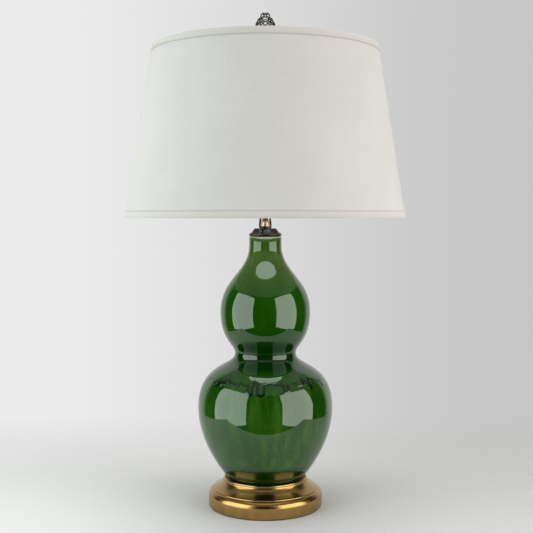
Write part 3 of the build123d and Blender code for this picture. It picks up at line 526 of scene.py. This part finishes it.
# %% Mix the greens
depth = clouds * 0.55 + streaks * 0.45
thin_green = glaze.colours(
    depth,
    (0.34, (0.0028, 0.031, 0.0006)),
    (0.50, (0.0095, 0.052, 0.0016)),
    (0.66, (0.0340, 0.100, 0.0075)),
)
thick_green = glaze.colours(
    clouds,
    (0.30, (0.0030, 0.034, 0.0008)),
    (0.52, (0.0070, 0.050, 0.0008)),
    (0.75, (0.0130, 0.064, 0.0014)),
)
# Round the waist the green is painted darker, in two steps: painted shade in the hollow between the
# bulbs.
above_waist = glaze.ramp(up, foot_z + 0.200, foot_z + 0.225)
painted_waist_shade = glaze.ramp(up, foot_z + 0.162, foot_z + 0.200) * (1 - above_waist)
greens = glaze.mix(curtain, thin_green, thick_green)
# Towards the neck the green turns lighter and yellower: partly thinner glaze, and partly painted light
# from the lampshade just above.
thin_and_lit_neck = glaze.ramp(up, foot_z + 0.300, foot_z + 0.385)
waist_low = glaze.ramp(up, foot_z + 0.180, foot_z + 0.196)
painted_waist_band = waist_low * glaze.ramp(up, foot_z + 0.222, foot_z + 0.242, 1.0, 0.0)
greens = glaze.mix(painted_waist_shade * 0.35, greens, (0.0012, 0.024, 0.0012))
greens = glaze.mix(painted_waist_band * 0.8, greens, (0.0004, 0.016, 0.0006))
# Just above the foot the green is painted darker: painted shade where the brass base keeps light off the
# clay.
painted_foot_shade = glaze.ramp(up, foot_z + 0.028, foot_z + 0.036, 1.0, 0.0)
greens = glaze.mix(painted_foot_shade * 0.85, greens, (0.0008, 0.012, 0.0006))
greens = glaze.mix(thin_and_lit_neck * 0.9, greens, (0.0420, 0.1000, 0.0060))
greens = glaze.mix(curtain_line * 0.95, greens, (0.0001, 0.008, 0.0003))
rim_share = glaze.ramp(up, neck_z - 0.0034, neck_z - 0.0014)
rimmed = glaze.mix(rim_share, greens, srgb(138, 138, 92))
glaze.feed("Base Color", rimmed)
ripple = glaze.noise(glaze.place((1, 1, 0.45)), 38, 2, 0.5)
runs = glaze.noise(glaze.place((1, 1, 0.16)), 110, 2, 0.5)
below_curtain = 1 - glaze.ramp(up, foot_z + 0.150, foot_z + 0.190)
relief = ripple * 0.9 + specks * 0.012 + curtain * 0.9 + runs * below_curtain * 0.10
relief = relief + curtain_line * 0.30
glaze.bump(relief, 0.0006, 0.55)
dress(gourd, glaze, "base", "green_glaze", "gourd_body")

# %% [markdown]
# ## The spun brass base
# A disc of brass is pressed over a wooden form while it spins, and a tool leaves a groove,
# a bead beside it and a raised lip. The outline has an arc for the shoulder, a nick for the
# groove and a roll for the lip, and a bevel softens the corners that are left.

# %% Spin the base
base_low, base_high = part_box("base_shell")
base_radius = base_high.x
shell_foot = base_low.z
lip_z = base_high.z
side_top = shell_foot + 0.015
groove_z = side_top + 0.0118
groove_radius = 0.0876
groove_width = 0.0008
groove_depth = 0.0010
tier_end = groove_z + groove_width + 0.0142
bead = 0.0015
cove_radius = groove_radius - groove_depth - bead
cove_z = groove_z + groove_width + bead
lip_radius = 0.0698
lip_width = 0.0056
deck_z = lip_z - 0.0043
shell_wall = 0.0012
hem = 0.009
base = turned(
    "spun_base",
    [
        corner(base_radius - hem, shell_foot + shell_wall),
        corner(base_radius - hem, shell_foot),
        corner(base_radius - 0.0012, shell_foot),
        corner(base_radius, shell_foot + 0.0012),
        {"at": (base_radius, side_top), "below": None,
         "above": (base_radius, side_top + 0.0059)},
        {"at": (groove_radius + 0.0012, groove_z - 0.0006),
         "below": (groove_radius + 0.0045, groove_z - 0.0034), "above": None},
        corner(groove_radius + 0.0002, groove_z - 0.0003),
        corner(groove_radius - groove_depth, groove_z + 0.0001),
        {"at": (groove_radius - groove_depth, groove_z + groove_width), "below": None,
         "above": (groove_radius - groove_depth, groove_z + groove_width + 0.0010)},
        {"at": (cove_radius, cove_z), "below": (cove_radius + 0.0008, cove_z),
         "above": (cove_radius - 0.0060, cove_z + 0.0030)},
        {"at": (lip_radius, tier_end - 0.0004),
         "below": (lip_radius + 0.0032, tier_end - 0.0055), "above": None},
        corner(lip_radius - 0.0007, tier_end - 0.0004),
        corner(lip_radius - 0.0008, tier_end + 0.0010),
        {"at": (lip_radius - lip_width / 2, lip_z),
         "below": (lip_radius - 0.0002, lip_z - 0.0004),
         "above": (lip_radius - lip_width + 0.0008, lip_z)},
        corner(lip_radius - lip_width, lip_z - 0.0022),
        corner(lip_radius - lip_width, deck_z),
        corner(0.0053, deck_z),
        corner(0.0053, deck_z - shell_wall),
        corner(lip_radius - shell_wall, deck_z - shell_wall),
        corner(groove_radius - 0.003, groove_z),
        corner(base_radius - shell_wall, side_top),
        corner(base_radius - shell_wall, shell_foot + shell_wall),
    ],
    steps=192,
    fineness=16,
    crease=30,
)

# %% [markdown]
# Spun brass keeps the marks of the tool: hair-fine rings round the axis. The lacquer has
# gone brown in patches and stayed bright between them. Rings come from a noise that
# is stretched a thousandfold round the axis, by reading only the radius and the height.

# %% Mix the antique brass
def metal(name, dark, light, rough, ring=0.5, grime=0.5, brushed=0.0):
    """A turned metal: rings round the lamp's axis, darker patches, a soft polish."""
    made = Finish(name, Metallic=1.0, Anisotropic=brushed)
    spot = made.place()
    east, north, up = made.axes(spot)
    radius = (east * east + north * north) ** 0.5
    rings = made.noise(
        made.node("ShaderNodeCombineXYZ", {}, {"X": radius, "Y": 0.0, "Z": up}), 2600, 3, 0.6
    )
    patches = made.noise(spot, 55, 4, 0.6)
    tone = made.colours(
        patches * (1 - ring) + rings * ring, (0.30, dark), (0.62, light)
    )
    made.feed("Base Color", tone)
    made.feed("Roughness", rough + (rings - 0.5) * 0.16 + (patches - 0.5) * grime * 0.2)
    made.bump(rings, 0.00004, 0.35)
    return made


antique_brass = metal(
    "antique_brass", (0.245, 0.136, 0.040), (0.500, 0.315, 0.108), 0.20, 0.70, 0.15, brushed=0.5
)
dress(base, antique_brass, "base", "antique_brass", "base_shell")

# %% [markdown]
# ## The neck cap
# A black cap plugs the gourd's neck: a fat bead, a slope and a small disc. It was turned
# from one piece and finished in satin black, so it keeps a soft grey sheen on the bead.

# %% Turn the cap
cap_low, cap_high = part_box("neck_cap")
bead_radius = cap_high.x
bead_height = 0.0064
slope_z = neck_z + bead_height
shoulder_z = slope_z + 0.0066
cap_top = cap_high.z
spigot = neck_radius - clay_wall - 0.0003
cap = turned(
    "neck_cap_turned",
    [
        corner(spigot - 0.0024, cap_low.z),
        corner(spigot, cap_low.z),
        corner(spigot, neck_z + 0.0001),
        {"at": (bead_radius - 0.0032, neck_z + 0.0001), "below": None,
         "above": (bead_radius - 0.0012, neck_z + 0.0001)},
        soft(bead_radius, neck_z + bead_height / 2, 0.0018, 0.0018),
        {"at": (bead_radius - 0.0032, slope_z),
         "below": (bead_radius - 0.0012, slope_z), "above": None},
        corner(0.0228, slope_z),
        corner(0.0182, shoulder_z - 0.0006),
        corner(0.0174, shoulder_z),
        corner(0.0096, shoulder_z),
        corner(0.0096, cap_top),
        corner(0.00515, cap_top),
        corner(0.00515, shoulder_z - 0.0024),
        corner(0.0155, shoulder_z - 0.0024),
        corner(spigot - 0.0024, neck_z),
    ],
    steps=128,
    fineness=10,
    crease=40,
)
satin = Finish("satin_black", Specular_IOR_Level=0.3, Coat_Weight=0.2, Coat_Roughness=0.08)
scuffs = satin.noise(satin.place((1, 1, 3)), 320, 4, 0.65)
satin.feed("Base Color", satin.colours(scuffs, (0.35, srgb(5, 5, 6)), (0.75, srgb(22, 20, 21))))
satin.feed("Roughness", 0.20 + scuffs * 0.20)
satin.bump(scuffs, 0.00003, 0.5)
dress(cap, satin, "base", "black_satin", "neck_cap")

# %% [markdown]
# ## The shade
# Linen is laminated to a sheet of white styrene, rolled to a cone and glued in a lap at the
# back. Its outline is straight, so a truncated cone without ends is the right start. Cuts
# round it give the cloth faces to follow small unevenness, and a solidify modifier its
# thickness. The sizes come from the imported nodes.

# %% Measure the cone
fabric_low, fabric_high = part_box("shade_fabric")
low_trim_low, low_trim_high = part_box("shade_trim_bottom")
top_trim_low, top_trim_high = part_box("shade_trim_top")
shade_foot = low_trim_low.z
shade_top = top_trim_high.z
shade_slope = (low_trim_high.x - top_trim_high.x) / (top_trim_low.z - shade_foot)
shade_low_radius = low_trim_high.x
tape_thick = 0.0006
cloth_thick = 0.0007
liner_thick = 0.0008


def cone_radius(height, inward=0.0):
    """Radius of the taped shade at a height, less the layers that lie outside."""
    return shade_low_radius - shade_slope * (height - shade_foot) - inward


print("the shade narrows by", round(shade_slope, 4), "m per metre of height")

# %% [markdown]
# A weave has to keep its real size all round the cone. So these pieces get a UV map in
# metres: U runs round the axis from the back seam and V up the height. Each face is measured
# from its own middle, so that no face is stretched across the seam.

# %% Helper to lay a UV map round a turned piece
def wrap(piece, girth):
    """Give a turned piece a UV map in metres, where girth is its middle radius."""
    mesh = piece.data
    layer = mesh.uv_layers.active or mesh.uv_layers.new(name="weave")
    for face in mesh.polygons:
        middle = math.atan2(face.center.x, -face.center.y)
        for loop in face.loop_indices:
            point = mesh.vertices[mesh.loops[loop].vertex_index].co
            turn = math.atan2(point.x, -point.y) - middle
            turn = (turn + math.pi) % (2 * math.pi) - math.pi
            layer.data[loop].uv = ((middle + turn) * girth, point.z)
    print(piece.name, "has", len(layer.data), "UV corners")


# %% Roll the linen
cloth_foot = fabric_low.z
cloth_top = fabric_high.z
cloth_height = cloth_top - cloth_foot
only()
bpy.ops.mesh.primitive_cone_add(
    vertices=288,
    radius1=fabric_high.x,
    radius2=fabric_high.x - shade_slope * cloth_height,
    depth=cloth_height,
    end_fill_type="NOTHING",
    location=(0, 0, (cloth_foot + cloth_top) / 2),
)
linen_cone = bpy.context.object
linen_cone.name = "rolled_linen"
linen_cone.data.name = "rolled_linen"
bpy.ops.object.transform_apply(location=True, rotation=True, scale=True)
bpy.ops.object.mode_set(mode="EDIT")
cloth_rows = 28
for row in range(1, cloth_rows):
    bpy.ops.mesh.select_all(action="SELECT")
    cut_z = cloth_foot + cloth_height * row / cloth_rows
    bpy.ops.mesh.bisect(plane_co=(0, 0, cut_z), plane_no=(0, 0, 1))
bpy.ops.object.mode_set(mode="OBJECT")
cloth_waver = 0.00025
for point in linen_cone.data.vertices:
    swell = noise.noise(Vector((point.co.x, point.co.y, point.co.z * 0.5)) * 14.0)
    held = min(point.co.z - cloth_foot, cloth_top - point.co.z) / 0.02
    inward = Vector((point.co.x, point.co.y, 0)).normalized()
    point.co -= inward * cloth_waver * (0.5 + 0.5 * swell) * min(max(held, 0), 1)
print(linen_cone.name, "has", len(linen_cone.data.polygons), "faces")

# %% [markdown]
# The lap at the back is 12 mm wide and stands a cloth's thickness proud, a straight ridge
# from tape to tape. Its faces are picked by their place, at the back, and extruded along
# their normals.

# %% Raise the lap and thicken the cloth
lap_half = 0.006
lap_rise = 0.0005
only(linen_cone)
for face in linen_cone.data.polygons:
    face.select = face.center.y > 0 and abs(face.center.x) < lap_half
bpy.ops.object.mode_set(mode="EDIT")
bpy.ops.mesh.select_mode(type="FACE")
bpy.ops.mesh.extrude_region_shrink_fatten(TRANSFORM_OT_shrink_fatten={"value": lap_rise})
bpy.ops.mesh.select_all(action="SELECT")
bpy.ops.mesh.normals_make_consistent(inside=False)
bpy.ops.object.mode_set(mode="OBJECT")
outward = linen_cone.data.polygons[0]
if outward.normal.dot(Vector((outward.center.x, outward.center.y, 0))) < 0:
    linen_cone.data.flip_normals()
wall = linen_cone.modifiers.new("cloth", "SOLIDIFY")
wall.thickness = cloth_thick
wall.offset = -1
bpy.ops.object.modifier_apply(modifier=wall.name)
bpy.ops.object.shade_smooth_by_angle(angle=math.radians(40))
cloth_girth = (fabric_high.x + cone_radius(cloth_top)) / 2
wrap(linen_cone, cloth_girth)
slant = cloth_height * math.hypot(1, shade_slope)
print("the cloth's slant height is", round(slant, 4), "m, its mean girth", round(cloth_girth, 4))

# %% [markdown]
# Plain linen: a thread over, a thread under, with warp and weft a third of a millimetre
# apart. What tells it from cotton is its slubs, thick places a few centimetres long in
# single threads. Two noises stretched a hundredfold, one along U and one along V, make
# them, and two sine waves make the crossings.

# %% Mix the linen
def woven(name, dark, light, pitch, relief, slubs=0.6, tape_shadow=0.0):
    """Plain weave on a UV map in metres: threads at a pitch, with slubs both ways.

    tape_shadow paints a shadow on the cloth just beside the tapes' edges."""
    made = Finish(name, Roughness=0.92, Specular_IOR_Level=0.18, Sheen_Weight=0.12)
    where = made.node("ShaderNodeTexCoord", out="UV")
    around, upward, flat = made.axes(where)
    crossing = around.wave(2 * pitch) * upward.wave(2 * pitch)
    crossing = crossing + (1 - around.wave(2 * pitch)) * (1 - upward.wave(2 * pitch))
    along_weft = made.node("ShaderNodeMapping", {}, {"Vector": where, "Scale": (22, 1500, 1)})
    along_warp = made.node("ShaderNodeMapping", {}, {"Vector": where, "Scale": (1500, 22, 1)})
    weft = made.noise(along_weft, 1.0, 2, 0.6)
    warp = made.noise(along_warp, 1.0, 2, 0.6)
    soft_tone = made.noise(made.place(), 9, 3, 0.5)
    cloth = crossing * (1 - slubs) + (weft + warp) * 0.5 * slubs
    tone = cloth * 0.75 + soft_tone * 0.25
    threads = made.colours(tone, (0.28, dark), (0.66, light))
    # A strip beside each tape is painted darker: a painted shadow under the tape's edge.
    low_edge = made.ramp(upward, low_trim_high.z, low_trim_high.z + 0.003, 1.0, 0.0)
    top_edge = made.ramp(upward, top_trim_low.z - 0.003, top_trim_low.z)
    painted_tape_shadow = low_edge.most(top_edge) * tape_shadow
    made.feed("Base Color", made.mix(painted_tape_shadow, threads, srgb(150, 138, 124)))
    made.bump(cloth, relief, 0.5)
    return made


linen = woven(
    "off_white_linen", srgb(186, 184, 181), srgb(208, 206, 203), 0.00035, 0.00012, tape_shadow=0.45
)
dress(linen_cone, linen, "shade", "linen", "shade_fabric")
cloth_area = math.pi * (fabric_high.x + cone_radius(cloth_top, tape_thick)) * slant
print("the cloth covers", round(cloth_area, 4), "square metres")

# %% [markdown]
# ## The tapes
# A tape of the same cloth is folded over each edge of the shade: ten millimetres of it show
# outside, six go inside, over the ring. The fold is drawn as the outline of a hook and
# turned like the clay, with one more point where the cloth rounds the edge.

# %% Fold the tapes
tape_height = 0.010
tape_inside = 0.006


def folded_tape(name, edge_z, inward_z, node):
    """A tape folded over an edge; inward_z is +1 where the shade lies above the edge."""
    outside_z = edge_z + inward_z * tape_height
    inside_z = edge_z + inward_z * tape_inside
    under_z = edge_z + inward_z * tape_thick
    layers = tape_thick + cloth_thick + liner_thick
    fold = layers + tape_thick
    round_off = tape_thick * 0.6
    bevel_z = edge_z + inward_z * round_off
    outline = [
        corner(cone_radius(outside_z, tape_thick * 0.95), outside_z),
        corner(cone_radius(outside_z, tape_thick * 0.30), outside_z),
        corner(cone_radius(outside_z, 0), outside_z - inward_z * 0.0004),
        corner(cone_radius((outside_z + edge_z) / 2, -0.00005), (outside_z + edge_z) / 2),
        corner(cone_radius(bevel_z, 0), bevel_z),
        corner(cone_radius(edge_z, round_off), edge_z),
        corner(cone_radius(edge_z, fold - round_off), edge_z),
        corner(cone_radius(bevel_z, fold), bevel_z),
        corner(cone_radius(inside_z, fold), inside_z),
        corner(cone_radius(inside_z, layers), inside_z),
        corner(cone_radius(under_z, layers), under_z),
        corner(cone_radius(under_z, tape_thick * 0.95), under_z),
    ]
    tape = turned(name, outline, steps=288, fineness=1, crease=50)
    wrap(tape, cone_radius(edge_z))
    dress(tape, tape_cloth, "shade", "linen_trim", node)
    return tape


tape_cloth = woven("linen_tape", srgb(185, 182, 178), srgb(205, 202, 198), 0.00040, 0.00012)
low_tape = folded_tape("low_tape", shade_foot, 1, "shade_trim_bottom")
top_tape = folded_tape("top_tape", shade_top, -1, "shade_trim_top")
print("tapes:", low_tape.name, top_tape.name)

# %% [markdown]
# ## Finishes for the hidden pieces
# The socket, the harp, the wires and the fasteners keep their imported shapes. Each gets the
# finish of its slot: turned metals from the same recipe as the base, moulded and pressed
# materials from a second, shorter one.

# %% Mix the other metals
finishes = {
    "antique_brass": antique_brass,
    "green_glaze": glaze,
    "black_satin": satin,
    "linen": linen,
    "linen_trim": tape_cloth,
    "bright_brass": metal("bright_brass", (0.52, 0.40, 0.23), (0.74, 0.61, 0.40), 0.36, 0.4),
    "dark_bronze": metal("dark_bronze", (0.045, 0.032, 0.020), (0.150, 0.105, 0.062), 0.34, 0.3),
    "antique_silver": metal(
        "antique_silver", (0.012, 0.011, 0.010), (0.075, 0.070, 0.060), 0.32, 0.2
    ),
    "zinc_steel": metal("zinc_steel", (0.50, 0.50, 0.49), (0.68, 0.68, 0.67), 0.32, 0.3),
    "aluminium": metal("rolled_aluminium", (0.62, 0.62, 0.62), (0.80, 0.80, 0.80), 0.28, 0.6),
}
print("metals:", [made.material.name for made in finishes.values()])


# %% Mix the other materials
def plain_stuff(name, dark, light, rough, grain, relief, **constants):
    """Moulded, pressed or felted stuff: one colour that a fine grain breaks up."""
    made = Finish(name, **constants)
    spot = made.place()
    fine = made.noise(spot, grain, 4, 0.65)
    broad = made.noise(spot, grain / 22, 3, 0.5)
    tone = fine * 0.6 + broad * 0.4
    made.feed("Base Color", made.colours(tone, (0.32, dark), (0.66, light)))
    made.feed("Roughness", rough + (fine - 0.5) * 0.12)
    made.bump(fine, relief, 0.5)
    return made


finishes["styrene"] = plain_stuff(
    "white_styrene", srgb(206, 203, 192), srgb(220, 217, 206), 0.55, 900, 0.00003
)
finishes["felt"] = plain_stuff(
    "dark_felt", srgb(28, 27, 26), srgb(58, 56, 54), 0.95, 2200, 0.0003, Sheen_Weight=0.4
)
finishes["black_plastic"] = plain_stuff(
    "black_plastic", srgb(18, 18, 18), srgb(34, 34, 34), 0.42, 1400, 0.00004
)
finishes["fibre"] = plain_stuff(
    "pressed_fibre", srgb(120, 84, 56), srgb(168, 128, 92), 0.85, 1600, 0.00008
)
finishes["frosted_glass"] = plain_stuff(
    "frosted_glass", srgb(236, 236, 232), srgb(246, 246, 243), 0.38, 2600, 0.00003,
    Transmission_Weight=0.55, IOR=1.5,
)
print("finishes in all:", len(finishes))

# %% [markdown]
# ## The openwork finial
# The knob that holds the shade down is a little dome of cast rings, four or eight of each
# size round it, soldered where they touch. One ring is a torus, laid flat against the dome at its place,
# with a grain of solder at its top. Large rings stand one above the other, small ones fill
# the corners between them, and a collar closes the dome at its foot.

# %% Helper to lay a row of rings
finial_wire = 0.0008
rings_round = 4


def ring_row(radius, height, ring_radius, lean_degrees, shift):
    """One row of rings and grains; shift turns the row by parts of its spacing."""
    lean = math.radians(lean_degrees)
    row = []
    for number in range(rings_round):
        turn = (number + shift) * 2 * math.pi / rings_round
        ahead = Vector((math.sin(turn), -math.cos(turn), 0))
        outward = ahead * math.cos(lean) + Vector((0, 0, math.sin(lean)))
        upward = Vector((0, 0, math.cos(lean))) - ahead * math.sin(lean)
        middle = ahead * radius + Vector((0, 0, height))
        only()
        bpy.ops.mesh.primitive_torus_add(
            major_radius=ring_radius - finial_wire,
            minor_radius=finial_wire,
            major_segments=28,
            minor_segments=10,
            location=middle,
            rotation=outward.to_track_quat("Z", "Y").to_euler(),
        )
        row.append(bpy.context.object)
        grain = middle + upward * (ring_radius - finial_wire / 2) + outward * finial_wire / 2
        bpy.ops.mesh.primitive_ico_sphere_add(
            subdivisions=2, radius=finial_wire * 1.1, location=grain
        )
        row.append(bpy.context.object)
    return row


# %% Build the dome
dome_low, dome_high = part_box("finial_filigree")
crown_z = dome_high.z
only()
bpy.ops.mesh.primitive_torus_add(
    major_radius=0.0106, minor_radius=0.0014, major_segments=56, minor_segments=12,
    location=(0, 0, dome_low.z + 0.0016),
)
collar_ring = bpy.context.object
bpy.ops.mesh.primitive_torus_add(
    major_radius=0.0040, minor_radius=finial_wire, major_segments=40, minor_segments=10,
    location=(0, 0, crown_z - 0.0024),
)
dome_pieces = [
    collar_ring,
    bpy.context.object,
    *ring_row(0.0064, crown_z - 0.0053, 0.0045, 25, 0.5),
    *ring_row(0.0104, crown_z - 0.0114, 0.0034, 30, 0.5),
    *ring_row(0.0120, crown_z - 0.0136, 0.0052, 28, 0.0),
    *ring_row(0.0146, crown_z - 0.0172, 0.0041, 20, 0.5),
    *ring_row(0.0152, crown_z - 0.0206, 0.0036, 12, 0.0),
    *ring_row(0.0158, crown_z - 0.0202, 0.0026, 12, 0.25),
    *ring_row(0.0158, crown_z - 0.0202, 0.0026, 12, 0.75),
    *ring_row(0.0164, crown_z - 0.0276, 0.0069, 2, 0.5),
    *ring_row(0.0164, crown_z - 0.0300, 0.0063, 0, 0.0),
    *ring_row(0.0158, crown_z - 0.0358, 0.0032, -12, 0.25),
    *ring_row(0.0158, crown_z - 0.0358, 0.0032, -12, 0.75),
    *ring_row(0.0140, crown_z - 0.0398, 0.0052, -35, 0.5),
    *ring_row(0.0140, crown_z - 0.0402, 0.0052, -35, 0.0),
]
only(*dome_pieces)
bpy.ops.object.join()
ring_dome = bpy.context.object
ring_dome.name = "ring_dome"
ring_dome.data.name = "ring_dome"
bpy.ops.object.transform_apply(location=True, rotation=True, scale=True)
bpy.ops.object.shade_smooth()
dress(ring_dome, finishes["antique_silver"], "finial", "antique_silver", "finial_filigree")

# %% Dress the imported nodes
for row in frame["record"]["subparts"]:
    finish = finishes[row["material_slot"]]
    node = frame["nodes"][row["node"]]
    if node.material_slots:
        for place in node.material_slots:
            place.material = finish.material
    else:
        node.data.materials.append(finish.material)

# %% [markdown]
# ## The last cell
# It only imports json.

# %% Import json
import json
